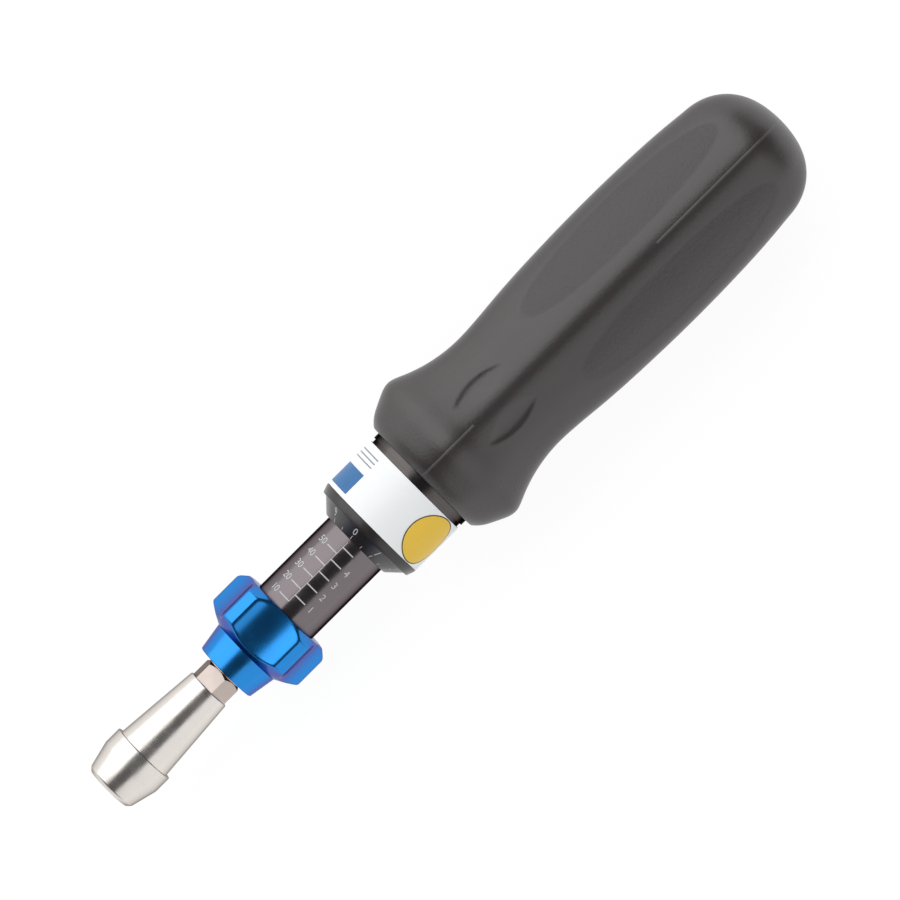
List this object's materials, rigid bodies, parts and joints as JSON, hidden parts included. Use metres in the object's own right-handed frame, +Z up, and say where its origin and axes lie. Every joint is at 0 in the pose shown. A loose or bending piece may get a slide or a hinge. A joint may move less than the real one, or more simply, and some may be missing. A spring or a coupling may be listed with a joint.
{
  "type": "torque screwdriver",
  "caption": "Adjustable torque screwdriver with a hexagon bit holder, a pull-to-unlock setting knob, a scale tube, a slipping ball clutch and a ridged moulded grip.",
  "frame": {"origin": "centre of the bit socket's mouth, on the tool's axis", "axes": "+X along the tool's axis towards the end of the handle; +Z up through one of the grip's five ridges, so a flat side of the grip faces down"},
  "size_m": [0.1528, 0.0294, 0.029],
  "materials": {
    "holder_steel": "fine turned, satin stainless steel",
    "magnet_nickel": "nickel plated magnet",
    "spring_steel": "oiled spring steel",
    "spindle_steel": "bright ground steel",
    "bronze": "sintered bronze",
    "hardened_steel": "hardened and ground steel",
    "ball_steel": "polished bearing steel",
    "scale_chrome": "satin dark chrome",
    "knob_blue": "blue anodised aluminium",
    "thimble_black": "black anodised aluminium",
    "black_screw": "blackened steel",
    "body_black": "black nickelled steel tube",
    "seal_rubber": "nitrile rubber",
    "label_white": "glossy white film",
    "marker_yellow": "glossy yellow film",
    "grip_plastic": "dark grey moulded plastic, fine grain"
  },
  "bodies": {
    "handle": {"grip": "grip_plastic", "body_tube": "body_black", "thimble": "thimble_black", "thimble_screws": "black_screw", "label_band": "label_white", "marker_dot": "marker_yellow", "tube_seal": "seal_rubber", "calibration_plug": "hardened_steel", "torque_spring": "spring_steel"},
    "carriage": {"drive_plate": "hardened_steel", "drive_balls": "ball_steel", "front_thrust_balls": "ball_steel", "front_thrust_cage": "bronze", "rear_thrust_balls": "ball_steel", "rear_thrust_cage": "bronze", "spring_seat": "hardened_steel"},
    "barrel": {"scale_tube": "scale_chrome", "knob_keys": "hardened_steel", "knob_spring": "spring_steel"},
    "knob": {"lock_knob": "knob_blue", "lock_sleeve": "spindle_steel", "spindle_bush": "bronze"},
    "driver": {"spindle": "spindle_steel", "bit_holder": "holder_steel", "bit_magnet": "magnet_nickel", "bit_ring": "spring_steel", "cam_plate": "hardened_steel", "spindle_circlip": "spring_steel", "thrust_washer": "bronze"}
  },
  "joints": [
    {"name": "setting_travel", "type": "slide", "parent": "handle", "child": "carriage", "axis": [1, 0, 0], "range_m": [-0.00135, 0.0108], "deforming": ["torque_spring"]},
    {"name": "setting_turn", "type": "hinge", "parent": "carriage", "child": "barrel", "pos_m": [0, 0, 0], "axis": [1, 0, 0], "range_deg": [-180, 1440]},
    {"name": "knob_unlock", "type": "slide", "parent": "barrel", "child": "knob", "axis": [-1, 0, 0], "range_m": [0, 0.002], "stiffness_N_per_m": 1500, "springref_m": -0.002, "deforming": ["knob_spring"]},
    {"name": "clutch_slip", "type": "hinge", "parent": "carriage", "child": "driver", "pos_m": [0, 0, 0], "axis": [1, 0, 0], "continuous": true}
  ],
  "couplings": [
    {"joint": "setting_turn", "follows": "setting_travel", "rad_per_m": 2327.1}
  ]
}
